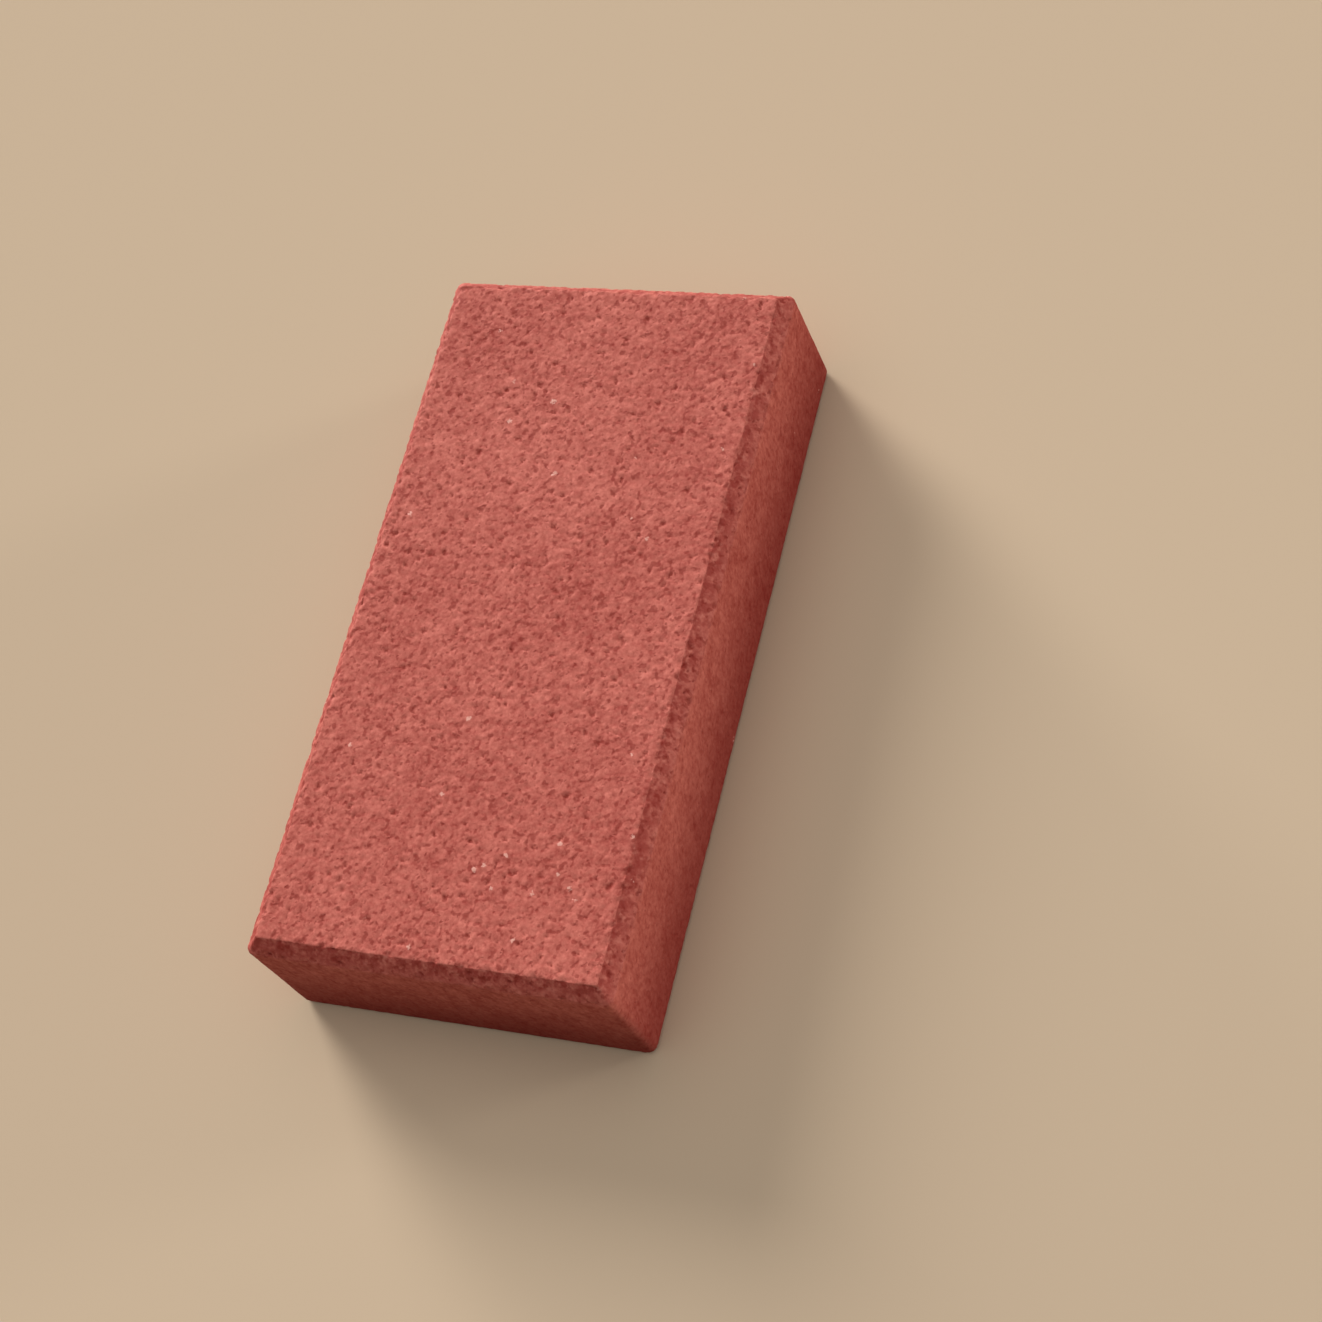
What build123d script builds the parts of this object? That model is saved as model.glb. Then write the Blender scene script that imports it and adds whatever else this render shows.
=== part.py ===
from build123d import *
import os

# Rectangular concrete block paver, pressed in one piece. It lies on its flat bed with the wear
# face up. The four edges of the wear face are chamfered, the chamfers meet in hips at the
# corners, and the upright corners are rounded as the mould leaves them.
# Millimetres. The origin is the centre of the bed, +X runs along the block, +Z is up.

# Overall block
LENGTH = 200.0
WIDTH = 100.0
THICKNESS = 40.0

# Chamfer round the wear face: its reach in over the face, and its drop down the sides
CHAMFER_RUN = 3.5
CHAMFER_DROP = 4.0

# Rounding of the upright corners, in the mould wall and where the hips reach the wear face
SIDE_CORNER_RADIUS = 2.5
WEAR_CORNER_RADIUS = 0.8

# Softened arrises: round the wear face, along the foot of the chamfer, and round the bed
WEAR_ARRIS_RADIUS = 0.6
SHOULDER_ARRIS_RADIUS = 1.0
BED_ARRIS_RADIUS = 2.0

SHOULDER_HEIGHT = THICKNESS - CHAMFER_DROP


def plan_outline(inset, corner_radius, height):
    """The plan of the block, drawn in all round by an inset, at a height above the bed."""
    outline = RectangleRounded(LENGTH - 2 * inset, WIDTH - 2 * inset, corner_radius)
    return Pos(0, 0, height) * outline


def straight_body():
    """The upright sides, from the bed to the foot of the chamfer."""
    return extrude(plan_outline(0, SIDE_CORNER_RADIUS, 0), amount=SHOULDER_HEIGHT)


def chamfered_head():
    """The top of the block, drawn in from the foot of the chamfer to the wear face."""
    shoulder = plan_outline(0, SIDE_CORNER_RADIUS, SHOULDER_HEIGHT)
    wear_face = plan_outline(CHAMFER_RUN, WEAR_CORNER_RADIUS, THICKNESS)
    return loft([shoulder, wear_face], ruled=True)


def soften(block, height, radius):
    """Rounds the edges that run level round the block at a height."""
    level_edges = block.edges().filter_by_position(Axis.Z, height, height)
    return fillet(level_edges, radius)


def paver_block():
    """The finished block, one solid."""
    block = straight_body() + chamfered_head()
    block = soften(block, THICKNESS, WEAR_ARRIS_RADIUS)
    block = soften(block, SHOULDER_HEIGHT, SHOULDER_ARRIS_RADIUS)
    return soften(block, 0, BED_ARRIS_RADIUS)


os.makedirs("parts", exist_ok=True)
export_step(paver_block(), "parts/paver_block.step")
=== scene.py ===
import math

import bpy
from mathutils import Matrix, Vector


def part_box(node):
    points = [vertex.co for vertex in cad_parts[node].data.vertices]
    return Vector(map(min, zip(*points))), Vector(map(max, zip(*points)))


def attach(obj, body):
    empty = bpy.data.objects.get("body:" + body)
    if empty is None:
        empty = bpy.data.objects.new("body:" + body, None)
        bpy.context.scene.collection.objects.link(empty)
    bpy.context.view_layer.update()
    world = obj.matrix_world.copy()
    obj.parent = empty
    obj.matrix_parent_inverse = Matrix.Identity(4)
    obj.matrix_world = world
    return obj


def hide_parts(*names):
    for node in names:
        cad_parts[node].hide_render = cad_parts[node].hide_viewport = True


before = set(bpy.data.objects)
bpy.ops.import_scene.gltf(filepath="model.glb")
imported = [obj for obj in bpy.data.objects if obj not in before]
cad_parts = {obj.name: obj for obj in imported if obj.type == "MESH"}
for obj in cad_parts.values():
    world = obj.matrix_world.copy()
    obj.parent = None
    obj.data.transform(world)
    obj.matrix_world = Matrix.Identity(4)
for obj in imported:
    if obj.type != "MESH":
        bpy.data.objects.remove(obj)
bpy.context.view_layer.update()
BLOCK_LOW, BLOCK_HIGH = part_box("paver_block")
BLOCK_SPAN = [high - low for low, high in zip(BLOCK_LOW, BLOCK_HIGH)]

bl_info = {
    "name": "Pressed Block Paver",
    "version": (1, 0, 0),
    "blender": (4, 5, 0),
    "location": "View3D > Sidebar > Paver",
    "description": "Builds a pressed concrete block paver with its grain, pits and pale sand grains",
    "category": "Object",
}

MM = 0.001
FLOAT = "NodeSocketFloat"
VECTOR = "NodeSocketVector"

# Turn of the noise patterns, so that none of their planes lies level with a face of the block, and how
# far one step of the seed shifts them, in millimetres
NOISE_TURN = (0.52, 0.37, 0.81)
SEED_SHIFT = 37.0
# Shift of the mottling in millimetres, so that it doesn't follow the pits
MOTTLE_SHIFT = (13.0, 5.0, 0.0)

# Mesh cells round each arris of the chamfer and round the arris of the bed
ARRIS_CELLS = 2
BED_ARRIS_CELLS = 4
# How many cells of the wear face one cell spans: there and on the chamfers, on the sides, on the bed
FACE_COARSENESS = 1
SIDE_COARSENESS = 2
BED_COARSENESS = 4
# Rows of the mesh below the shoulder's arris: the last fine one and the first coarse one, and the width
# of the plain rim round the bed's grid
LAST_FINE_ROW = 0.55 * MM
FIRST_COARSE_ROW = 1.4 * MM
BED_RIM = 1.6 * MM

# How far up a surface's normal points as bed turns into side, side into chamfer, chamfer into wear face
SIDE_LEAN = (-0.9, -0.4)
CHAMFER_LEAN = (0.10, 0.45)
FACE_LEAN = (0.78, 0.93)
# The least lean of a surface that scattered pale grains lie on, and of one with the wear face's finish
PALE_LEAN = -0.2
TOP_LEAN = 0.30

# Depth of the dents and pits on the chamfers and on the sides, as a share of the wear face's
CHAMFER_DENTS = 1.5
SIDE_DENTS = 0.30
CHAMFER_PITS = 1.6
SIDE_PITS = 0.12

# A pit's rim: how fine it is warped and how far, in radii, how the radius varies, and the share of it at
# which the floor begins
PIT_WARP_SCALE = 0.7
PIT_WARP = 3.2
PIT_SPREAD = 1.1
PIT_LEAST = 0.35
PIT_FLOOR = 0.45

# Levels of noise at which dents, nicks and drag marks begin and are full
DENT_EDGES = (0.60, 0.28)
NICK_EDGES = (0.46, 0.70)
DRAG_EDGES = (0.38, 0.66)
# Distances from an arris at which nicks begin and are full, in millimetres
NICK_REACH = (1.3, 0.2)
# Share of a nick's depth that stays out of the painted shade of the pits, because a nick bares clean grain
CLEAN_NICK = 0.7
# Width of the drag marks in millimetres, and how the noise is drawn out up the sides
DRAG_WIDTH = 1.9
DRAG_STRETCH = (1.0, 1.0, 0.14)
# How much further off the wear face's arris counts than the shoulder's, in millimetres, and how fast
# the distance to a hip grows off the chamfer
WEAR_ARRIS_SETBACK = 0.5
HIP_FALLOFF = 20.0
# How open the grain of the chamfer is at its foot, and how much more at the wear face
LOW_CHAMFER = 0.45
HIGH_CHAMFER = 0.55

# Pale grains: the smallest as a share of the largest, the width and reach of their ragged rims, and
# the distances from a rim between which the surface drops from a standing grain to the paste
SMALLEST_PALE = 0.3
PALE_RAG_WIDTH = 0.9
PALE_RAG = 0.6
PALE_STAND = (-0.25, 0.35)

# Sand and paste: edges of the painted shade in the crevices between grains, width and edges of the open
# gaps, spread of the noises, and the heights of a grain's dome, of the smeared paste and of a gap
CREVICE_SHADE_EDGES = (0.35, 0.80)
GAP_WIDTH = 1.7
GAP_EDGES = (0.45, 0.32)
NOISE_SPREAD = 1.6
DOME_HEIGHT = 0.6
SMEAR_HEIGHT = 0.5
GAP_HEIGHT = -0.4

# Worn arrises, partly real wear and partly a painted highlight: width of their broken patches in
# millimetres, and how soft the patches end
RUB_WIDTH = 1.3
RUB_SOFTNESS = 0.12

# The studio: half the floor's width in metres, the camera's sensor in millimetres and the range it
# sees in metres, and how strongly the soft light gathers overhead
FLOOR_HALF = 8.0
SENSOR = 36.0
CLIP_RANGE = (0.01, 30.0)
OVERHEAD_FOCUS = 3.0
# Each lamp's first word among the settings, and how wide it looks from the block, in degrees
LAMPS = {"key": 24.0, "rim": 12.0, "fill": 14.0}


class BlockSizes(bpy.types.PropertyGroup):
    """The sizes of the pressed block, before its grain is pressed in."""

    length: bpy.props.FloatProperty(
        name="Length", description="Length of the block", default=BLOCK_SPAN[0], unit="LENGTH")
    width: bpy.props.FloatProperty(
        name="Width", description="Width of the block", default=BLOCK_SPAN[1], unit="LENGTH")
    thickness: bpy.props.FloatProperty(
        name="Thickness", description="Bed to wear face", default=BLOCK_SPAN[2], unit="LENGTH")
    chamfer_run: bpy.props.FloatProperty(
        name="Chamfer Run", description="Reach of the chamfer in over the wear face",
        default=3.5 * MM, unit="LENGTH")
    chamfer_drop: bpy.props.FloatProperty(
        name="Chamfer Drop", description="Drop of the chamfer down the sides",
        default=4.0 * MM, unit="LENGTH")
    side_corner: bpy.props.FloatProperty(
        name="Side Corner", description="Radius of the upright corners", default=2.5 * MM, unit="LENGTH")
    wear_corner: bpy.props.FloatProperty(
        name="Wear Corner", description="Plan radius where the hips reach the wear face",
        default=0.8 * MM, unit="LENGTH")
    wear_arris: bpy.props.FloatProperty(
        name="Wear Arris", description="Radius of the arris round the wear face",
        default=0.6 * MM, unit="LENGTH")
    shoulder_arris: bpy.props.FloatProperty(
        name="Shoulder Arris", description="Radius of the arris at the foot of the chamfer",
        default=1.0 * MM, unit="LENGTH")
    bed_arris: bpy.props.FloatProperty(
        name="Bed Arris", description="Radius of the arris round the bed", default=2.0 * MM, unit="LENGTH")
    cells_along: bpy.props.IntProperty(
        name="Cells Along", description="Mesh cells along the wear face, a multiple of 4", default=352)
    cells_across: bpy.props.IntProperty(
        name="Cells Across", description="Mesh cells across the wear face, a multiple of 4", default=168)
    chamfer_cells: bpy.props.IntProperty(
        name="Chamfer Cells", description="Mesh cells down the chamfer", default=9)
    side_cells: bpy.props.IntProperty(
        name="Side Cells", description="Mesh cells down the sides", default=27)


class SurfaceRelief(bpy.types.PropertyGroup):
    """The relief that the mix and the mould leave on the block. Lengths are millimetres."""

    grain_size: bpy.props.FloatProperty(
        name="Grain Size", description="Width of the dents between the sand grains, mm", default=1.7)
    grain_depth: bpy.props.FloatProperty(
        name="Grain Depth", description="Depth of the dents between the sand grains, mm", default=0.22)
    pit_spacing: bpy.props.FloatProperty(
        name="Pit Spacing", description="Size of the cells that hold one pit each, mm", default=2.9)
    pit_radius: bpy.props.FloatProperty(
        name="Pit Radius", description="Radius of a common pit, mm", default=0.72)
    pit_depth: bpy.props.FloatProperty(
        name="Pit Depth", description="Depth of a pit, mm", default=0.40)
    nick_size: bpy.props.FloatProperty(
        name="Nick Size", description="Width of the crumbled places along the arrises, mm", default=2.4)
    nick_depth: bpy.props.FloatProperty(
        name="Nick Depth", description="Depth of the crumbled places along the arrises, mm", default=0.5)
    drag_depth: bpy.props.FloatProperty(
        name="Drag Depth", description="Depth of the streaks that the mould draws up the sides, mm",
        default=0.07)
    pale_density: bpy.props.FloatProperty(
        name="Pale Grain Density", description="Scattered pale sand grains on a square metre",
        default=700.0)
    pale_radius: bpy.props.FloatProperty(
        name="Pale Grain Radius", description="Radius of the largest pale sand grain, mm", default=0.70)
    seed: bpy.props.IntProperty(
        name="Seed", description="Changes the places of grains, pits and nicks", default=7)


class ConcreteColours(bpy.types.PropertyGroup):
    """The colours of the pigmented mix, with painted shade in the pit and foot colours and a partly painted
    highlight in the arris colour.
    """

    paste_deep: bpy.props.FloatVectorProperty(
        name="Deep Paste", description="Darkest pigmented paste", subtype="COLOR", size=3,
        default=(0.28, 0.033, 0.024))
    paste_bright: bpy.props.FloatVectorProperty(
        name="Bright Paste", description="Brightest pigmented paste", subtype="COLOR", size=3,
        default=(0.585, 0.158, 0.116))
    # Painted shade: the pit colour darkens the dents, pits, pores and gaps between the grains, where shade
    # falls.
    pit: bpy.props.FloatVectorProperty(
        name="Pit", description="Floor of a pit", subtype="COLOR", size=3, default=(0.21, 0.012, 0.006))
    # Painted shade: the foot colour darkens the sides towards the bed, where shade falls near the floor.
    foot: bpy.props.FloatVectorProperty(
        name="Foot", description="Denser, darker paste low on the sides", subtype="COLOR", size=3,
        default=(0.15, 0.006, 0.003))
    # Partly worn grain and partly a painted highlight: pale colour along the arrises, also used on bare
    # grains of the chamfer.
    rub_and_highlight: bpy.props.FloatVectorProperty(
        name="Rubbed Arris", description="Rubbed grain along the arrises", subtype="COLOR", size=3,
        default=(0.74, 0.27, 0.20))
    pale_grain: bpy.props.FloatVectorProperty(
        name="Pale Grain", description="Pale sand grain", subtype="COLOR", size=3,
        default=(0.81, 0.43, 0.34))


class StudioSettings(bpy.types.PropertyGroup):
    """The floor, the lamps and the camera."""

    floor: bpy.props.FloatVectorProperty(
        name="Floor", description="Colour of the floor", subtype="COLOR", size=3,
        default=(0.550, 0.419, 0.290))
    backdrop: bpy.props.FloatVectorProperty(
        name="Backdrop", description="Colour behind the floor's far edge", subtype="COLOR", size=3,
        default=(0.578, 0.440, 0.305))
    overhead: bpy.props.FloatProperty(
        name="Overhead", description="Level of the soft light straight overhead", default=1.42)
    horizon: bpy.props.FloatProperty(
        name="Horizon", description="Level of the soft light at the horizon", default=0.01)
    key_strength: bpy.props.FloatProperty(
        name="Key", description="Strength of the main lamp, behind the block on the left", default=2.8)
    key_direction: bpy.props.FloatVectorProperty(
        name="Key Direction", description="Direction towards the main lamp", subtype="XYZ", size=3,
        default=(0.62, 0.66, 0.42))
    rim_strength: bpy.props.FloatProperty(
        name="Rim", description="Strength of the low lamp, below the main one", default=2.15)
    rim_direction: bpy.props.FloatVectorProperty(
        name="Rim Direction", description="Direction towards the low lamp", subtype="XYZ", size=3,
        default=(0.68, 0.72, 0.10))
    fill_strength: bpy.props.FloatProperty(
        name="Fill", description="Strength of the lamp on the right", default=1.55)
    fill_direction: bpy.props.FloatVectorProperty(
        name="Fill Direction", description="Direction towards the lamp on the right", subtype="XYZ",
        size=3, default=(0.45, -0.88, 0.10))
    focal_length: bpy.props.FloatProperty(
        name="Focal Length", description="Focal length of the camera on a 36 mm sensor", default=73.72)
    camera_place: bpy.props.FloatVectorProperty(
        name="Camera Place", description="Where the camera stands", subtype="TRANSLATION", size=3,
        unit="LENGTH", default=(-268.53 * MM, -290.34 * MM, 610.38 * MM))
    camera_aim: bpy.props.FloatVectorProperty(
        name="Camera Aim", description="Point in the middle of the view", subtype="TRANSLATION", size=3,
        unit="LENGTH", default=(-1.995 * MM, -32.139 * MM, 20.0 * MM))
    camera_roll: bpy.props.FloatProperty(
        name="Camera Roll", description="Turn of the camera about its line of sight",
        subtype="ANGLE", unit="ROTATION", default=math.radians(33.925))


def feed(tree, socket, value):
    """Links a socket to another one, or sets its value."""
    if isinstance(value, bpy.types.NodeSocket):
        tree.links.new(value, socket)
    else:
        socket.default_value = value


def put(tree, kind, inputs=None, **settings):
    """Adds a node with its settings and inputs."""
    node = tree.nodes.new(kind)
    for name, value in settings.items():
        setattr(node, name, value)
    for name, value in (inputs or {}).items():
        feed(tree, node.inputs[name], value)
    return node


def calc(tree, operation, *values):
    """One sum on numbers."""
    node = put(tree, "ShaderNodeMath", operation=operation)
    for socket, value in zip(node.inputs, values):
        feed(tree, socket, value)
    return node.outputs[0]


def vector_calc(tree, operation, *values, scale=None):
    """One sum on vectors."""
    node = put(tree, "ShaderNodeVectorMath", operation=operation)
    for socket, value in zip(node.inputs, values):
        feed(tree, socket, value)
    if scale is not None:
        feed(tree, node.inputs["Scale"], scale)
    return node.outputs[0]


def step(tree, value, start, end):
    """0 at the start, 1 at the end, the same beyond them and smooth in between."""
    node = put(
        tree, "ShaderNodeMapRange",
        {"Value": value, "From Min": start, "From Max": end}, interpolation_type="SMOOTHSTEP")
    return node.outputs["Result"]


def add_up(tree, first, *others):
    """The sum of several values."""
    for other in others:
        first = calc(tree, "ADD", first, other)
    return first


def smallest(tree, first, *others):
    """The smallest of several values."""
    for other in others:
        first = calc(tree, "MINIMUM", first, other)
    return first


def distance(tree, first, second):
    """The straight distance over two offsets at right angles."""
    squares = [calc(tree, "POWER", calc(tree, "ABSOLUTE", offset), 2.0) for offset in (first, second)]
    return calc(tree, "SQRT", add_up(tree, *squares))


def noise(tree, vector, size, detail=2.0, roughness=0.5):
    """Noise from 0 to 1 whose features are about as wide as the size."""
    node = put(
        tree, "ShaderNodeTexNoise",
        {"Vector": vector, "Scale": calc(tree, "DIVIDE", 1.0, size), "Detail": detail,
         "Roughness": roughness})
    return node.outputs[0]


def blend_colours(tree, factor, first, second):
    """A mix of two colours."""
    node = put(tree, "ShaderNodeMix", data_type="RGBA")
    feed(tree, node.inputs[0], factor)
    feed(tree, node.inputs[6], first)
    feed(tree, node.inputs[7], second)
    return node.outputs[2]


def new_tree(name, kind, inputs, outputs):
    """A node group with its sockets, given as (name, kind, default), and its two end nodes."""
    tree = bpy.data.node_groups.new(name, kind)
    for title, form, default in inputs:
        socket = tree.interface.new_socket(name=title, in_out="INPUT", socket_type=form)
        if default is not None:
            socket.default_value = default
    for title, form in outputs:
        tree.interface.new_socket(name=title, in_out="OUTPUT", socket_type=form)
    return tree, tree.nodes.new("NodeGroupInput").outputs, tree.nodes.new("NodeGroupOutput").inputs


def pit_field(tree, vector, spacing, radius):
    """How deep a point lies in a ragged pit, from 0 at its rim to 1 on its floor."""
    warp = put(
        tree, "ShaderNodeTexNoise",
        {"Vector": vector, "Scale": PIT_WARP_SCALE, "Detail": 2.0}).outputs["Color"]
    warp = vector_calc(tree, "SUBTRACT", warp, (0.5, 0.5, 0.5))
    warp = vector_calc(tree, "SCALE", warp, scale=calc(tree, "MULTIPLY", radius, PIT_WARP))
    vector = vector_calc(tree, "ADD", vector, warp)
    cells = put(
        tree, "ShaderNodeTexVoronoi", {"Vector": vector, "Scale": calc(tree, "DIVIDE", 1.0, spacing)})
    gap = calc(tree, "MULTIPLY", cells.outputs["Distance"], spacing)
    if tree.bl_idname == "ShaderNodeTree":
        chances = put(tree, "ShaderNodeSeparateColor", {"Color": cells.outputs["Color"]})
    else:
        chances = put(tree, "ShaderNodeSeparateXYZ", {"Vector": cells.outputs["Color"]})
    size = calc(tree, "MULTIPLY_ADD", chances.outputs[0], PIT_SPREAD, PIT_LEAST)
    reach = calc(tree, "MULTIPLY", radius, size)
    return step(tree, gap, reach, calc(tree, "MULTIPLY", reach, PIT_FLOOR))


def pale_grain_gap(tree, given, place_mm, spot, lean):
    """The distance in millimetres to the ragged rim of the nearest pale sand grain, below 0 inside it.
    Most grains are scattered at random, and the placed ones join them."""
    scatter = put(
        tree, "GeometryNodeDistributePointsOnFaces",
        {"Mesh": given["Geometry"], "Selection": calc(tree, "GREATER_THAN", lean, PALE_LEAN),
         "Density": given["Pale Grain Density"], "Seed": given["Seed"]}).outputs["Points"]
    width = put(tree, "FunctionNodeRandomValue", data_type="FLOAT")
    feed(tree, width.inputs[2], SMALLEST_PALE)
    feed(tree, width.inputs[3], 1.0)
    feed(tree, width.inputs["Seed"], given["Seed"])
    scatter = put(
        tree, "GeometryNodeStoreNamedAttribute",
        {"Geometry": scatter, "Name": "pale_size", "Value": width.outputs[1]},
        data_type="FLOAT", domain="POINT").outputs[0]
    placed = put(tree, "GeometryNodeObjectInfo", {"Object": given["Placed Grains"]}).outputs["Geometry"]
    placed = put(tree, "GeometryNodeMeshToPoints", {"Mesh": placed}).outputs[0]
    joined = put(tree, "GeometryNodeJoinGeometry")
    tree.links.new(scatter, joined.inputs[0])
    tree.links.new(placed, joined.inputs[0])
    grains = joined.outputs[0]
    nearest = put(tree, "GeometryNodeSampleNearest", {"Geometry": grains}, domain="POINT").outputs[0]
    stored = put(tree, "GeometryNodeInputNamedAttribute", {"Name": "pale_size"}, data_type="FLOAT")
    size = put(
        tree, "GeometryNodeSampleIndex",
        {"Geometry": grains, "Value": stored.outputs["Attribute"], "Index": nearest},
        data_type="FLOAT", domain="POINT").outputs[0]
    centre = put(
        tree, "GeometryNodeSampleIndex",
        {"Geometry": grains, "Value": place_mm, "Index": nearest},
        data_type="FLOAT_VECTOR", domain="POINT").outputs[0]
    reach = put(
        tree, "ShaderNodeVectorMath", {0: place_mm, 1: centre}, operation="DISTANCE").outputs["Value"]
    ragged = noise(tree, spot, PALE_RAG_WIDTH, 1.0)
    ragged = calc(tree, "MULTIPLY_ADD", ragged, 2 * PALE_RAG, -PALE_RAG)
    return add_up(
        tree, reach, ragged,
        calc(tree, "MULTIPLY", calc(tree, "MULTIPLY", size, given["Pale Grain Radius"]), -1.0))


# Inputs of the relief tree, each with the setting that feeds it
SIZE_INPUTS = {
    "Length": "length",
    "Width": "width",
    "Thickness": "thickness",
    "Chamfer Run": "chamfer_run",
    "Chamfer Drop": "chamfer_drop",
}
RELIEF_INPUTS = {
    "Grain Size": "grain_size",
    "Grain Depth": "grain_depth",
    "Pit Spacing": "pit_spacing",
    "Pit Radius": "pit_radius",
    "Pit Depth": "pit_depth",
    "Nick Size": "nick_size",
    "Nick Depth": "nick_depth",
    "Drag Depth": "drag_depth",
    "Pale Grain Radius": "pale_radius",
    "Pale Grain Density": "pale_density",
}


def relief_tree():
    """Geometry nodes that press grain, pits, nicks and drag marks into the block, all of it inwards,
    and leave its bed flat. For the concrete's shaders they store where each point was before, how deep
    it is sunk, its height over the bed and its distances to the nearest arris and pale grain, all in
    millimetres, and how open the chamfer's grain is there."""
    tree, given, result = new_tree(
        "Pressed concrete relief", "GeometryNodeTree",
        [("Geometry", "NodeSocketGeometry", None), ("Placed Grains", "NodeSocketObject", None)]
        + [(name, FLOAT, None) for name in (*SIZE_INPUTS, *RELIEF_INPUTS)]
        + [("Seed", "NodeSocketInt", None), ("Face Finish", "NodeSocketMaterial", None),
           ("Side Finish", "NodeSocketMaterial", None)],
        [("Geometry", "NodeSocketGeometry")])

    place = put(tree, "GeometryNodeInputPosition").outputs[0]
    place_mm = vector_calc(tree, "SCALE", place, scale=1 / MM)
    shift = calc(tree, "MULTIPLY", given["Seed"], SEED_SHIFT)
    shift = put(tree, "ShaderNodeCombineXYZ", {"X": shift}).outputs[0]
    mould_place = vector_calc(tree, "ADD", place_mm, shift)
    spot = put(
        tree, "ShaderNodeVectorRotate", {"Vector": mould_place, "Rotation": NOISE_TURN},
        rotation_type="EULER_XYZ").outputs[0]
    normal = put(tree, "GeometryNodeInputNormal").outputs[0]
    lean = put(tree, "ShaderNodeSeparateXYZ", {"Vector": normal}).outputs[2]
    axes = put(tree, "ShaderNodeSeparateXYZ", {"Vector": place_mm}).outputs

    on_face = step(tree, lean, *FACE_LEAN)
    off_side = step(tree, lean, *CHAMFER_LEAN)
    on_chamfer = calc(tree, "SUBTRACT", off_side, on_face)
    off_bed = step(tree, lean, *SIDE_LEAN)
    on_side = calc(tree, "SUBTRACT", off_bed, off_side)

    in_x, in_y = [
        calc(tree, "SUBTRACT", calc(tree, "MULTIPLY", given[name], 0.5), calc(tree, "ABSOLUTE", axis))
        for name, axis in (("Length", axes[0]), ("Width", axes[1]))]
    inset = calc(tree, "MINIMUM", in_x, in_y)
    below = calc(tree, "SUBTRACT", given["Thickness"], axes[2])
    past_chamfer = calc(tree, "MAXIMUM", calc(tree, "SUBTRACT", inset, given["Chamfer Run"]), 0.0)
    wear_gap = distance(tree, calc(tree, "SUBTRACT", inset, given["Chamfer Run"]), below)
    shoulder_gap = distance(tree, inset, calc(tree, "SUBTRACT", below, given["Chamfer Drop"]))
    above_shoulder = calc(tree, "MAXIMUM", calc(tree, "SUBTRACT", given["Chamfer Drop"], below), 0.0)
    corner_gap = add_up(
        tree, calc(tree, "ABSOLUTE", calc(tree, "SUBTRACT", in_x, in_y)),
        calc(tree, "MULTIPLY", add_up(tree, past_chamfer, above_shoulder), HIP_FALLOFF))
    arris_gap = smallest(
        tree, calc(tree, "ADD", wear_gap, WEAR_ARRIS_SETBACK), shoulder_gap, corner_gap)

    grain = step(tree, noise(tree, spot, given["Grain Size"], 2.0, 0.55), *DENT_EDGES)
    grain_share = add_up(
        tree, on_face, calc(tree, "MULTIPLY", on_chamfer, CHAMFER_DENTS),
        calc(tree, "MULTIPLY", on_side, SIDE_DENTS))
    grain_cut = calc(tree, "MULTIPLY", calc(tree, "MULTIPLY", grain, grain_share), given["Grain Depth"])

    pits = pit_field(tree, spot, given["Pit Spacing"], given["Pit Radius"])
    pit_share = add_up(
        tree, on_face, calc(tree, "MULTIPLY", on_chamfer, CHAMFER_PITS),
        calc(tree, "MULTIPLY", on_side, SIDE_PITS))
    pits = calc(tree, "MULTIPLY", pits, pit_share)
    pit_cut = calc(tree, "MULTIPLY", pits, given["Pit Depth"])

    crumbled = step(tree, noise(tree, spot, given["Nick Size"], 1.0), *NICK_EDGES)
    near_edge = step(tree, smallest(tree, wear_gap, shoulder_gap), *NICK_REACH)
    nick_cut = calc(
        tree, "MULTIPLY", calc(tree, "MULTIPLY", crumbled, near_edge),
        calc(tree, "MULTIPLY", given["Nick Depth"], off_bed))

    upright = vector_calc(tree, "MULTIPLY", mould_place, DRAG_STRETCH)
    drag = step(tree, noise(tree, upright, DRAG_WIDTH, 1.0), *DRAG_EDGES)
    drag_cut = calc(tree, "MULTIPLY", calc(tree, "MULTIPLY", drag, on_side), given["Drag Depth"])

    pale_gap = pale_grain_gap(tree, given, place_mm, spot, lean)

    cut = add_up(tree, grain_cut, pit_cut, nick_cut, drag_cut)
    cut = calc(tree, "MULTIPLY", cut, step(tree, pale_gap, *PALE_STAND))
    # How deep a point is sunk, less part of the nicks: the shaders turn it into painted shade in the dents
    # and pits
    sunk = calc(tree, "SUBTRACT", cut, calc(tree, "MULTIPLY", nick_cut, CLEAN_NICK))
    near_top = step(tree, below, given["Chamfer Drop"], 0.0)
    near_top = calc(tree, "MULTIPLY_ADD", near_top, HIGH_CHAMFER, LOW_CHAMFER)
    chamfer_share = calc(tree, "MULTIPLY", on_chamfer, near_top)
    push = vector_calc(tree, "SCALE", normal, scale=calc(tree, "MULTIPLY", cut, -MM))

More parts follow.
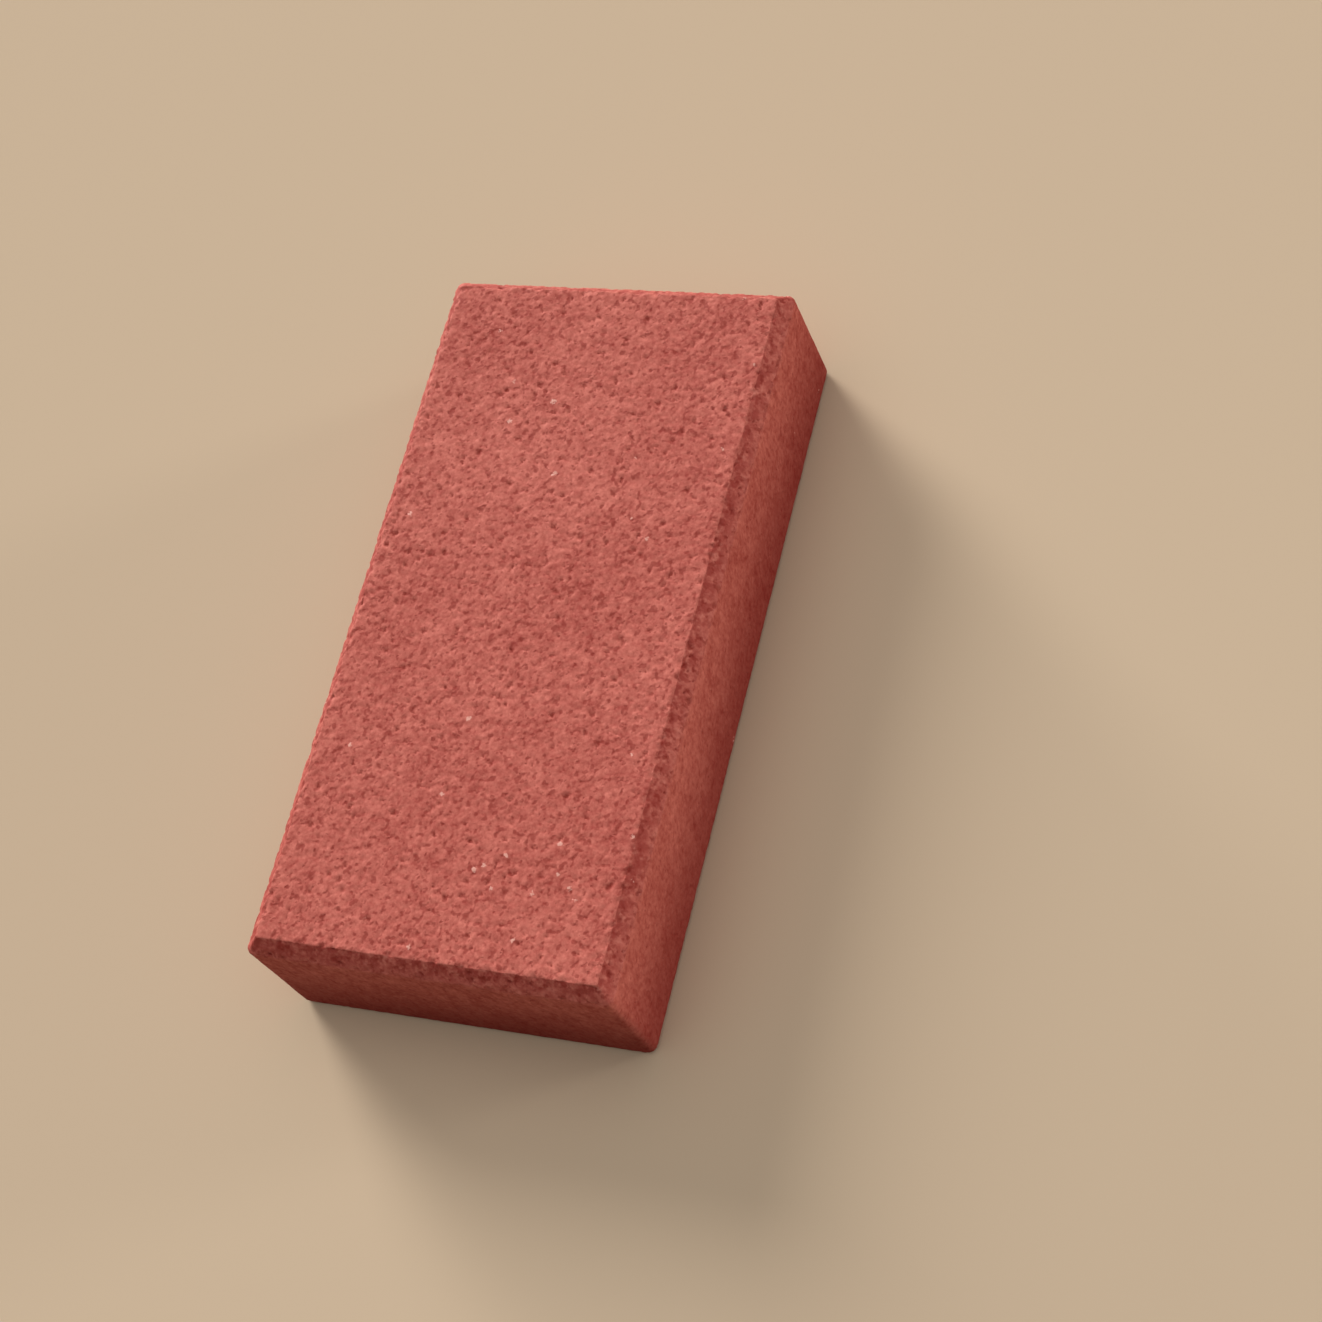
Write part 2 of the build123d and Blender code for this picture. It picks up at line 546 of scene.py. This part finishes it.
    shape = given["Geometry"]
    for name, value, form in (
            ("foot_height", axes[2], "FLOAT"), ("sunk", sunk, "FLOAT"),
            ("chamfer_share", chamfer_share, "FLOAT"), ("arris_gap", arris_gap, "FLOAT"),
            ("pale_gap", pale_gap, "FLOAT"), ("mould_place", mould_place, "FLOAT_VECTOR")):
        shape = put(
            tree, "GeometryNodeStoreNamedAttribute",
            {"Geometry": shape, "Name": name, "Value": value},
            data_type=form, domain="POINT").outputs[0]
    over_shoulder = calc(tree, "GREATER_THAN", lean, TOP_LEAN)
    shape = put(
        tree, "GeometryNodeStoreNamedAttribute",
        {"Geometry": shape, "Name": "top", "Value": over_shoulder},
        data_type="FLOAT", domain="FACE").outputs[0]
    shape = put(tree, "GeometryNodeSetPosition", {"Geometry": shape, "Offset": push}).outputs[0]
    shape = put(tree, "GeometryNodeSetShadeSmooth", {"Geometry": shape}).outputs[0]
    shape = put(tree, "GeometryNodeRealizeInstances", {"Geometry": shape}).outputs[0]
    shape = put(
        tree, "GeometryNodeSetMaterial", {"Geometry": shape, "Material": given["Side Finish"]}).outputs[0]
    top = put(
        tree, "GeometryNodeInputNamedAttribute", {"Name": "top"}, data_type="FLOAT").outputs["Attribute"]
    shape = put(
        tree, "GeometryNodeSetMaterial",
        {"Geometry": shape, "Selection": calc(tree, "GREATER_THAN", top, 0.5),
         "Material": given["Face Finish"]}).outputs[0]
    feed(tree, result["Geometry"], shape)
    return tree


def side_point(half_length, half_width, corner, share):
    """A point on one side of a rounded rectangle, from the middle of one corner to the next."""
    arc = corner * math.pi / 4
    straight = 2 * (half_length - corner)
    along = share * (straight + 2 * arc)
    if along < arc:
        angle = math.pi / 4 - along / corner
        out = half_width - corner + corner * math.cos(angle)
        return -half_length + corner - corner * math.sin(angle), out
    if along > straight + arc:
        angle = (along - straight - arc) / corner
        out = half_width - corner + corner * math.cos(angle)
        return half_length - corner + corner * math.sin(angle), out
    return -half_length + corner + along - arc, half_width


def plan_ring(sizes, inset, corner, coarseness):
    """The plan outline of the block, drawn in by an inset, anticlockwise seen from above."""
    half_x = sizes.length / 2 - inset
    half_y = sizes.width / 2 - inset
    along = sizes.cells_along // coarseness
    across = sizes.cells_across // coarseness
    sides = ((along, half_x, half_y), (across, half_y, half_x)) * 2
    ring = []
    for turn, (cells, near, far) in enumerate(sides):
        for k in range(cells):
            u, v = side_point(near, far, corner, k / cells)
            ring.append(((u, -v), (v, u), (-u, v), (-v, -u))[turn])
    return ring


def block_profile(sizes):
    """The profile from the wear face down to the bed, as (inset, height, corner radius, coarseness)."""
    top = sizes.thickness
    slope = math.atan2(sizes.chamfer_drop, sizes.chamfer_run)
    wear, shoulder, bed = sizes.wear_arris, sizes.shoulder_arris, sizes.bed_arris
    start = sizes.chamfer_run + wear * math.tan(slope / 2)
    foot = top - sizes.chamfer_drop - shoulder * math.tan((math.pi / 2 - slope) / 2)
    line = []
    for k in range(ARRIS_CELLS + 1):
        angle = slope * k / ARRIS_CELLS
        line.append((start - wear * math.sin(angle), top - wear + wear * math.cos(angle)))
    lower = (shoulder - shoulder * math.sin(slope), foot + shoulder * math.cos(slope))
    upper = line[-1]
    for k in range(1, sizes.chamfer_cells):
        share = k / sizes.chamfer_cells
        line.append(tuple(a + (b - a) * share for a, b in zip(upper, lower)))
    for k in range(ARRIS_CELLS + 1):
        angle = slope + (math.pi / 2 - slope) * k / ARRIS_CELLS
        line.append((shoulder - shoulder * math.sin(angle), foot + shoulder * math.cos(angle)))
    line.append((0.0, foot - LAST_FINE_ROW))
    rings = []
    for inset, height in line:
        share = min(max((top - height) / sizes.chamfer_drop, 0.0), 1.0)
        corner = sizes.wear_corner + (sizes.side_corner - sizes.wear_corner) * share
        rings.append((inset, height, corner, FACE_COARSENESS))
    first = foot - FIRST_COARSE_ROW
    for k in range(sizes.side_cells + 1):
        height = first + (bed - first) * k / sizes.side_cells
        rings.append((0.0, height, sizes.side_corner, SIDE_COARSENESS))
    for k in range(1, BED_ARRIS_CELLS + 1):
        angle = math.pi / 2 / BED_ARRIS_CELLS * k
        inset = bed - bed * math.cos(angle)
        height = bed - bed * math.sin(angle)
        rings.append((inset, height, sizes.side_corner - inset, SIDE_COARSENESS))
    rings.append((bed + BED_RIM, 0.0, sizes.side_corner - bed, BED_COARSENESS))
    return rings


def grid_cells(cells_x, cells_y, ring, height, points):
    """Fills a ring with a level grid, adds its inner points, and gives the grid of point numbers."""
    start, outline = ring
    half_x = max(p[0] for p in outline)
    half_y = max(p[1] for p in outline)
    count = len(outline)
    rows = []
    for j in range(cells_y + 1):
        row = []
        for i in range(cells_x + 1):
            if j == 0:
                row.append(start + i)
            elif i == cells_x:
                row.append(start + cells_x + j)
            elif j == cells_y:
                row.append(start + 2 * cells_x + cells_y - i)
            elif i == 0:
                row.append(start + (count - j) % count)
            else:
                row.append(len(points))
                x = half_x * (2 * i / cells_x - 1)
                points.append((x, half_y * (2 * j / cells_y - 1), height))
        rows.append(row)
    return rows


def block_lattice(sizes):
    """The smooth block as one closed mesh: fine on the wear face and chamfers, coarser below."""
    points, faces, rings = [], [], []
    for inset, height, corner, coarseness in block_profile(sizes):
        outline = plan_ring(sizes, inset, corner, coarseness)
        rings.append((len(points), outline))
        points.extend((x, y, height) for x, y in outline)
    for (a, upper), (b, lower) in zip(rings, rings[1:]):
        count = len(lower)
        if len(upper) == count:
            for k in range(count):
                n = (k + 1) % count
                faces.append((a + k, b + k, b + n, a + n))
        else:
            for k in range(count):
                n = (k + 1) % count
                left, middle, right = a + 2 * k, a + 2 * k + 1, a + (2 * k + 2) % len(upper)
                faces.append((left, b + k, middle))
                faces.append((middle, b + k, b + n))
                faces.append((middle, b + n, right))
    wear = grid_cells(sizes.cells_along, sizes.cells_across, rings[0], sizes.thickness, points)
    bed = grid_cells(
        sizes.cells_along // BED_COARSENESS, sizes.cells_across // BED_COARSENESS, rings[-1], 0.0, points)
    for rows, up in ((wear, True), (bed, False)):
        for low, high in zip(rows, rows[1:]):
            for i in range(len(low) - 1):
                quad = (low[i], low[i + 1], high[i + 1], high[i])
                faces.append(quad if up else quad[::-1])
    mesh = bpy.data.meshes.new("pressed_block")
    mesh.from_pydata(points, [], faces)
    mesh.update()
    return mesh


def finish_mesh(piece, tree, values):
    """Runs a geometry node tree on a piece and keeps the result as its plain mesh."""
    modifier = piece.modifiers.new("Relief", "NODES")
    modifier.node_group = tree
    for socket in tree.interface.items_tree:
        if socket.item_type == "SOCKET" and socket.in_out == "INPUT" and socket.name in values:
            modifier[socket.identifier] = values[socket.name]
    graph = bpy.context.evaluated_depsgraph_get()
    shaped = piece.evaluated_get(graph)
    mesh = bpy.data.meshes.new_from_object(shaped, preserve_all_data_layers=True, depsgraph=graph)
    piece.modifiers.remove(modifier)
    old = piece.data
    piece.data = mesh
    bpy.data.meshes.remove(old)
    mesh.name = piece.name


def mottling_group():
    """Light and dark of the pigmented paste and its sand, with painted shade in the crevices between the
    grains, the open gaps between the grains, both from 0 to 1, and the height of the grains."""
    tree, given, result = new_tree(
        "Sand and paste", "ShaderNodeTree",
        [("Vector", VECTOR, None), ("Grain Width", FLOAT, 0.8), ("Cloud Width", FLOAT, 6.0),
         ("Drift Width", FLOAT, 45.0), ("Base", FLOAT, 0.5), ("Grain", FLOAT, 0.4), ("Crevice", FLOAT, 0.3),
         ("Smear", FLOAT, 0.7), ("Cloud", FLOAT, 0.3), ("Drift", FLOAT, 0.2)],
        [("Shade", FLOAT), ("Gap", FLOAT), ("Height", FLOAT)])
    cells = put(
        tree, "ShaderNodeTexVoronoi",
        {"Vector": given["Vector"], "Scale": calc(tree, "DIVIDE", 1.0, given["Grain Width"])}).outputs
    tone = put(tree, "ShaderNodeSeparateColor", {"Color": cells["Color"]}).outputs[0]
    # Painted shade: the paste darkens towards the crevices between the sand grains
    crevice_shade = step(tree, cells["Distance"], *CREVICE_SHADE_EDGES)
    smear = noise(tree, given["Vector"], given["Grain Width"], 2.0, 0.6)
    gap_width = calc(tree, "MULTIPLY", given["Grain Width"], GAP_WIDTH)
    gap = step(tree, noise(tree, given["Vector"], gap_width, 1.0), *GAP_EDGES)
    feed(tree, result["Gap"], gap)
    cloud = noise(tree, given["Vector"], given["Cloud Width"])
    drift = noise(tree, given["Vector"], given["Drift Width"])
    parts = [calc(tree, "MULTIPLY", crevice_shade, calc(tree, "MULTIPLY", given["Crevice"], -1.0))]
    for value, weight, spread in (
            (tone, "Grain", 1.0), (smear, "Smear", NOISE_SPREAD), (cloud, "Cloud", NOISE_SPREAD),
            (drift, "Drift", NOISE_SPREAD)):
        centred = calc(tree, "MULTIPLY", calc(tree, "SUBTRACT", value, 0.5), spread)
        parts.append(calc(tree, "MULTIPLY", centred, given[weight]))
    shade = add_up(tree, given["Base"], *parts)
    feed(tree, result["Shade"], calc(tree, "MINIMUM", calc(tree, "MAXIMUM", shade, 0.0), 1.0))
    dome = calc(tree, "MULTIPLY", calc(tree, "SUBTRACT", 1.0, cells["Distance"]), DOME_HEIGHT)
    bumpy = calc(tree, "MULTIPLY_ADD", smear, SMEAR_HEIGHT, dome)
    feed(tree, result["Height"], calc(tree, "MULTIPLY_ADD", gap, GAP_HEIGHT, bumpy))
    return tree


def pore_group():
    """Small ragged pores between the grains, 1 on their floor."""
    tree, given, result = new_tree(
        "Open pores", "ShaderNodeTree",
        [("Vector", VECTOR, None), ("Spacing", FLOAT, 1.5), ("Radius", FLOAT, 0.4)],
        [("Pore", FLOAT)])
    feed(tree, result["Pore"], pit_field(tree, given["Vector"], given["Spacing"], given["Radius"]))
    return tree


def arris_group():
    """Where grain is worn bare along an arris, partly real wear and partly a painted highlight, from the
    distance to it in millimetres.
    """
    tree, given, result = new_tree(
        "Rubbed arrises", "ShaderNodeTree",
        [("Vector", VECTOR, None), ("Gap", FLOAT, 10.0), ("Reach", FLOAT, 1.0), ("Cover", FLOAT, 0.5)],
        [("Rubbed", FLOAT)])
    band = step(tree, given["Gap"], given["Reach"], 0.0)
    broken = noise(tree, given["Vector"], RUB_WIDTH, 2.0, 0.6)
    open_from = calc(tree, "SUBTRACT", 1.0, given["Cover"])
    patches = step(
        tree, broken, calc(tree, "SUBTRACT", open_from, RUB_SOFTNESS),
        calc(tree, "ADD", open_from, RUB_SOFTNESS))
    feed(tree, result["Rubbed"], calc(tree, "MULTIPLY", band, patches))
    return tree


def use_group(tree, group, **inputs):
    """Places a node group, with its inputs given by name, underscores for spaces."""
    node = put(tree, "ShaderNodeGroup", node_tree=group)
    for name, value in inputs.items():
        feed(tree, node.inputs[name.replace("_", " ")], value)
    return node.outputs


def attribute(tree, name, output="Fac"):
    """A value or a vector stored on the piece's mesh."""
    return put(
        tree, "ShaderNodeAttribute", attribute_name=name, attribute_type="GEOMETRY").outputs[output]


def rgba(colour):
    """A stored colour with its alpha."""
    return (*colour, 1.0)


def concrete(name, groups, colours, look):
    """Pigmented concrete with the strengths that one finish of the block has."""
    material = bpy.data.materials.new(name)
    material.use_nodes = True
    tree = material.node_tree
    shader = tree.nodes["Principled BSDF"]
    shader.inputs["Specular IOR Level"].default_value = look["specular"]
    mould_place = attribute(tree, "mould_place", "Vector")
    spot = put(tree, "ShaderNodeMapping", {"Vector": mould_place, "Rotation": NOISE_TURN}).outputs[0]
    stretched = put(
        tree, "ShaderNodeMapping",
        {"Vector": mould_place, "Location": MOTTLE_SHIFT, "Rotation": NOISE_TURN,
         "Scale": (1.0, 1.0, look["stretch"])}).outputs[0]

    mottle = use_group(
        tree, groups["mottling"], Vector=stretched, Grain_Width=look["grain_width"], Base=look["base"],
        Grain=look["grain"], Crevice=look["crevice_shade"], Smear=look["smear"],
        Cloud_Width=look["cloud_width"], Cloud=look["cloud"], Drift=look["drift"])
    pores = use_group(
        tree, groups["pores"], Vector=spot, Spacing=look["pore_spacing"],
        Radius=look["pore_radius"])["Pore"]
    # Pale worn grain along the arrises, partly a painted highlight
    rub_and_highlight = use_group(
        tree, groups["arrises"], Vector=spot, Gap=attribute(tree, "arris_gap"),
        Reach=look["rub_highlight_reach"], Cover=look["rub_highlight_cover"])["Rubbed"]
    # Painted shade in the dents and pits: darker the deeper the surface is sunk
    pit = step(tree, attribute(tree, "sunk"), look["pit_shade_start"], look["pit_shade_full"])
    coarse = noise(tree, spot, look["coarse_width"], 2.0, 0.6)
    on_chamfer = attribute(tree, "chamfer_share")
    open_grain = step(tree, coarse, *look["open_edges"])
    open_grain = calc(tree, "MULTIPLY_ADD", open_grain, look["open_spread"], look["open_least"])
    open_grain = calc(tree, "MULTIPLY", open_grain, on_chamfer)
    bare_grain = calc(tree, "MULTIPLY", step(tree, coarse, *look["bare_edges"]), on_chamfer)
    # Painted shade: darker towards the bed, below a ragged edge
    ragged_foot_shade = noise(tree, spot, look["foot_shade_rag_width"], 2.0, 0.6)
    ragged_foot_shade = calc(
        tree, "MULTIPLY_ADD", ragged_foot_shade, look["foot_shade_rag"], attribute(tree, "foot_height"))
    foot = step(tree, ragged_foot_shade, *look["foot_shade_edges"])
    torn = noise(tree, spot, look["torn_width"], 1.0)
    torn = calc(tree, "MULTIPLY_ADD", torn, 2 * look["torn_reach"], -look["torn_reach"])
    pale = step(tree, calc(tree, "ADD", attribute(tree, "pale_gap"), torn), *look["pale_edges"])

    colour = blend_colours(
        tree, mottle["Shade"], rgba(colours.paste_deep), rgba(colours.paste_bright))
    colour = blend_colours(tree, open_grain, colour, rgba(colours.paste_deep))
    # Coats: the pit colour on gaps, pores and pits and the foot colour low on the sides are painted shade;
    # the arris colour is partly worn grain and partly a painted highlight
    for mask, strength, tint in (
            (bare_grain, look["bare_tint"], colours.rub_and_highlight), (mottle["Gap"], look["gap_shade_tint"], colours.pit),
            (pores, look["pore_shade_tint"], colours.pit), (pit, look["pit_shade_tint"], colours.pit),
            (foot, look["foot_shade_tint"], colours.foot), (rub_and_highlight, look["rub_highlight_tint"], colours.rub_and_highlight),
            (pale, look["pale_tint"], colours.pale_grain)):
        colour = blend_colours(tree, calc(tree, "MULTIPLY", mask, strength), colour, rgba(tint))
    feed(tree, shader.inputs["Base Color"], colour)

    rough = calc(tree, "MULTIPLY_ADD", mottle["Shade"], -look["shade_polish"], look["roughness"])
    rough = calc(tree, "MULTIPLY_ADD", pale, -look["pale_polish"], rough)
    feed(tree, shader.inputs["Roughness"], rough)

    height = calc(tree, "SUBTRACT", mottle["Height"], calc(tree, "MULTIPLY", pores, look["pore_depth"]))
    bump = put(
        tree, "ShaderNodeBump",
        {"Height": height, "Distance": look["bump_mm"] * MM, "Strength": 1.0})
    feed(tree, shader.inputs["Normal"], bump.outputs["Normal"])
    return material


# The strengths of the finishes, from 0 to 1, with widths, spacings, radii, reaches and depths of pits in
# millimetres. Edges are the levels of noise, or the heights or distances in millimetres, at which a mask
# begins and is full. First comes what both finishes share
SHARED_LOOK = {
    "coarse_width": 2.1,
    "open_edges": (0.58, 0.40),
    "open_spread": 0.60,
    "open_least": 0.34,
    "bare_edges": (0.56, 0.70),
    "bare_tint": 0.30,
    "foot_shade_rag_width": 6.0,
    "foot_shade_rag": 6.0,
    "foot_shade_edges": (38.0, 4.0),
    "torn_width": 0.55,
    "torn_reach": 0.8,
    "pale_edges": (0.15, -0.20),
    "pale_tint": 0.6,
    "shade_polish": 0.10,
    "pale_polish": 0.25,
    "drift": 0.35,
    "rub_highlight_cover": 0.55,
}
FACE_LOOK = {
    **SHARED_LOOK,
    "stretch": 1.0,
    "grain_width": 1.0,
    "base": 0.65,
    "grain": 0.20,
    "crevice_shade": 0.14,
    "smear": 0.60,
    "cloud_width": 4.5,
    "cloud": 0.5,
    "gap_shade_tint": 0.56,
    "pore_spacing": 2.0,
    "pore_radius": 0.52,
    "pore_shade_tint": 0.45,
    "pore_depth": 0.8,
    "pit_shade_start": 0.14,
    "pit_shade_full": 0.55,
    "pit_shade_tint": 0.6,
    "foot_shade_tint": 0.0,
    "rub_highlight_reach": 2.6,
    "rub_highlight_tint": 0.08,
    "roughness": 0.86,
    "specular": 0.2,
    "bump_mm": 0.07,
}
SIDE_LOOK = {
    **SHARED_LOOK,
    "stretch": 0.75,
    "grain_width": 1.1,
    # The sides' base is lower than the wear face's: partly a darker mould-side skin, partly painted shade
    # on the upright faces
    "base": 0.57,
    "grain": 0.20,
    "crevice_shade": 0.12,
    "smear": 0.5,
    "cloud_width": 4.0,
    "cloud": 0.45,
    "gap_shade_tint": 0.25,
    "pore_spacing": 2.4,
    "pore_radius": 0.45,
    "pore_shade_tint": 0.4,
    "pore_depth": 0.7,
    "pit_shade_start": 0.05,
    "pit_shade_full": 0.30,
    "pit_shade_tint": 0.45,
    "foot_shade_tint": 0.68,
    "rub_highlight_reach": 2.2,
    "rub_highlight_tint": 0.10,
    "roughness": 0.88,
    "specular": 0.1,
    "bump_mm": 0.12,
}

# Pale sand grains that stand out on the wear face: along and across the block in millimetres, and the
# share of the largest radius
PLACED_GRAINS = (
    (-71.6, -7.0, 1.0), (-70.0, -9.2, 0.7), (-62.1, -27.5, 1.0), (-69.9, -29.0, 0.7),
    (-73.1, -33.0, 0.9), (-76.0, -35.0, 0.6), (-75.9, -23.8, 0.8), (-75.9, -12.8, 0.6),
    (-57.9, -45.6, 0.8), (-93.5, 4.4, 0.8), (54.6, 19.6, 1.1), (61.4, 8.7, 0.9), (66.6, 21.8, 0.6),
    (76.0, -44.6, 0.7), (50.3, -42.0, 0.7), (45.9, -18.9, 0.6), (22.8, -28.4, 0.7), (-87.9, 18.1, 0.5),
)


def grain_points(sizes):
    """The placed grains as loose points on the wear face."""
    mesh = bpy.data.meshes.new("placed_grains")
    mesh.from_pydata([(x * MM, y * MM, sizes.thickness) for x, y, share in PLACED_GRAINS], [], [])
    shares = mesh.attributes.new("pale_size", "FLOAT", "POINT")
    for point, (x, y, share) in zip(shares.data, PLACED_GRAINS):
        point.value = share
    holder = bpy.data.objects.new("placed_grains", mesh)
    bpy.context.scene.collection.objects.link(holder)
    return holder


class PAVER_OT_press_block(bpy.types.Operator):
    """Builds the concrete block, with its relief and finishes"""

    bl_idname = "paver.press_block"
    bl_label = "Press Block"

    def execute(self, context):
        scene = context.scene
        sizes, relief, colours = scene.paver_sizes, scene.paver_relief, scene.paver_colours
        if sizes.cells_along % BED_COARSENESS or sizes.cells_across % BED_COARSENESS:
            raise ValueError(f"the wear face needs a multiple of {BED_COARSENESS} mesh cells each way")
        groups = {"mottling": mottling_group(), "pores": pore_group(), "arrises": arris_group()}
        face = concrete("face_concrete", groups, colours, FACE_LOOK)
        side = concrete("mould_side_concrete", groups, colours, SIDE_LOOK)
        piece = bpy.data.objects.new("pressed_block", block_lattice(sizes))
        scene.collection.objects.link(piece)
        grains = grain_points(sizes)
        values = {
            "Placed Grains": grains,
            "Seed": relief.seed,
            "Face Finish": face,
            "Side Finish": side,
        }
        values.update((name, getattr(sizes, setting) / MM) for name, setting in SIZE_INPUTS.items())
        values.update((name, getattr(relief, setting)) for name, setting in RELIEF_INPUTS.items())
        finish_mesh(piece, relief_tree(), values)
        bpy.data.meshes.remove(grains.data)
        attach(piece, "root")
        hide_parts("paver_block")
        return {"FINISHED"}


def pale_floor(studio):
    """A wide plain pale floor."""
    mesh = bpy.data.meshes.new("studio_floor")
    corners = [(x * FLOOR_HALF, y * FLOOR_HALF, 0.0) for x, y in ((-1, -1), (1, -1), (1, 1), (-1, 1))]
    mesh.from_pydata(corners, [], [(0, 1, 2, 3)])
    floor = bpy.data.objects.new("studio_floor", mesh)
    bpy.context.scene.collection.objects.link(floor)
    material = bpy.data.materials.new("pale_floor")
    material.use_nodes = True
    shader = material.node_tree.nodes["Principled BSDF"]
    shader.inputs["Base Color"].default_value = rgba(studio.floor)
    shader.inputs["Roughness"].default_value = 1.0
    shader.inputs["Specular IOR Level"].default_value = 0.0
    mesh.materials.append(material)


def lamp(name, direction, strength, spread):
    """A far soft lamp, given by the direction towards it."""
    light = bpy.data.lights.new(name, "SUN")
    light.energy = strength
    light.angle = math.radians(spread)
    holder = bpy.data.objects.new(name, light)
    holder.rotation_mode = "QUATERNION"
    holder.rotation_quaternion = Vector(direction).to_track_quat("Z", "Y")
    bpy.context.scene.collection.objects.link(holder)


def ambient_world(studio):
    """Soft light that is strongest overhead, in front of a plain backdrop."""
    world = bpy.data.worlds.new("studio_world")
    bpy.context.scene.world = world
    world.use_nodes = True
    tree = world.node_tree
    rays = put(tree, "ShaderNodeLightPath").outputs
    seen = calc(tree, "MAXIMUM", rays["Is Camera Ray"], rays["Is Glossy Ray"])
    seen = calc(tree, "MAXIMUM", seen, rays["Is Transmission Ray"])
    sky = put(tree, "ShaderNodeTexCoord").outputs["Generated"]
    height = calc(tree, "MAXIMUM", put(tree, "ShaderNodeSeparateXYZ", {"Vector": sky}).outputs[2], 0.0)
    level = calc(tree, "POWER", height, OVERHEAD_FOCUS)
    level = calc(tree, "MULTIPLY_ADD", level, studio.overhead - studio.horizon, studio.horizon)
    back = tree.nodes["Background"]
    feed(tree, back.inputs["Color"], blend_colours(tree, seen, level, rgba(studio.backdrop)))
    back.inputs["Strength"].default_value = 1.0


def studio_camera(studio):
    """The camera, looking down on the block."""
    data = bpy.data.cameras.new("studio_camera")
    data.lens = studio.focal_length
    data.sensor_width = SENSOR
    data.clip_start, data.clip_end = CLIP_RANGE
    camera = bpy.data.objects.new("studio_camera", data)
    place = Vector(studio.camera_place)
    sight = (Vector(studio.camera_aim) - place).normalized()
    level_right = sight.cross(Vector((0.0, 0.0, 1.0))).normalized()
    level_up = level_right.cross(sight)
    turn = studio.camera_roll
    up = level_up * math.cos(turn) + level_right * math.sin(turn)
    right = sight.cross(up)
    axes = Matrix((right, up, -sight)).transposed()
    camera.matrix_world = Matrix.Translation(place) @ axes.to_4x4()
    bpy.context.scene.collection.objects.link(camera)
    bpy.context.scene.camera = camera


class PAVER_OT_set_studio(bpy.types.Operator):
    """Sets the pale floor, the soft lamps and the camera"""

    bl_idname = "paver.set_studio"
    bl_label = "Set Studio"

    def execute(self, context):
        studio = context.scene.paver_studio
        pale_floor(studio)
        ambient_world(studio)
        for first_word, spread in LAMPS.items():
            direction = getattr(studio, first_word + "_direction")
            lamp(first_word + "_lamp", direction, getattr(studio, first_word + "_strength"), spread)
        studio_camera(studio)
        context.scene.view_settings.view_transform = "Standard"
        return {"FINISHED"}


class PAVER_PT_panel(bpy.types.Panel):
    """Lists the steps that build the block"""

    bl_idname = "PAVER_PT_panel"
    bl_label = "Block Paver"
    bl_space_type = "VIEW_3D"
    bl_region_type = "UI"
    bl_category = "Paver"

    def draw(self, context):
        column = self.layout.column()
        for step_class in STEPS:
            column.operator(step_class.bl_idname)


STEPS = (PAVER_OT_press_block, PAVER_OT_set_studio)
SETTINGS = {
    "paver_sizes": BlockSizes,
    "paver_relief": SurfaceRelief,
    "paver_colours": ConcreteColours,
    "paver_studio": StudioSettings,
}


def register():
    for kind in (*SETTINGS.values(), *STEPS, PAVER_PT_panel):
        bpy.utils.register_class(kind)
    for name, kind in SETTINGS.items():
        setattr(bpy.types.Scene, name, bpy.props.PointerProperty(type=kind))


def unregister():
    for name in SETTINGS:
        delattr(bpy.types.Scene, name)
    for kind in (PAVER_PT_panel, *reversed(STEPS), *reversed(SETTINGS.values())):
        bpy.utils.unregister_class(kind)


def main():
    register()
    bpy.ops.paver.press_block()
    bpy.ops.paver.set_studio()


if __name__ == "__main__":
    main()
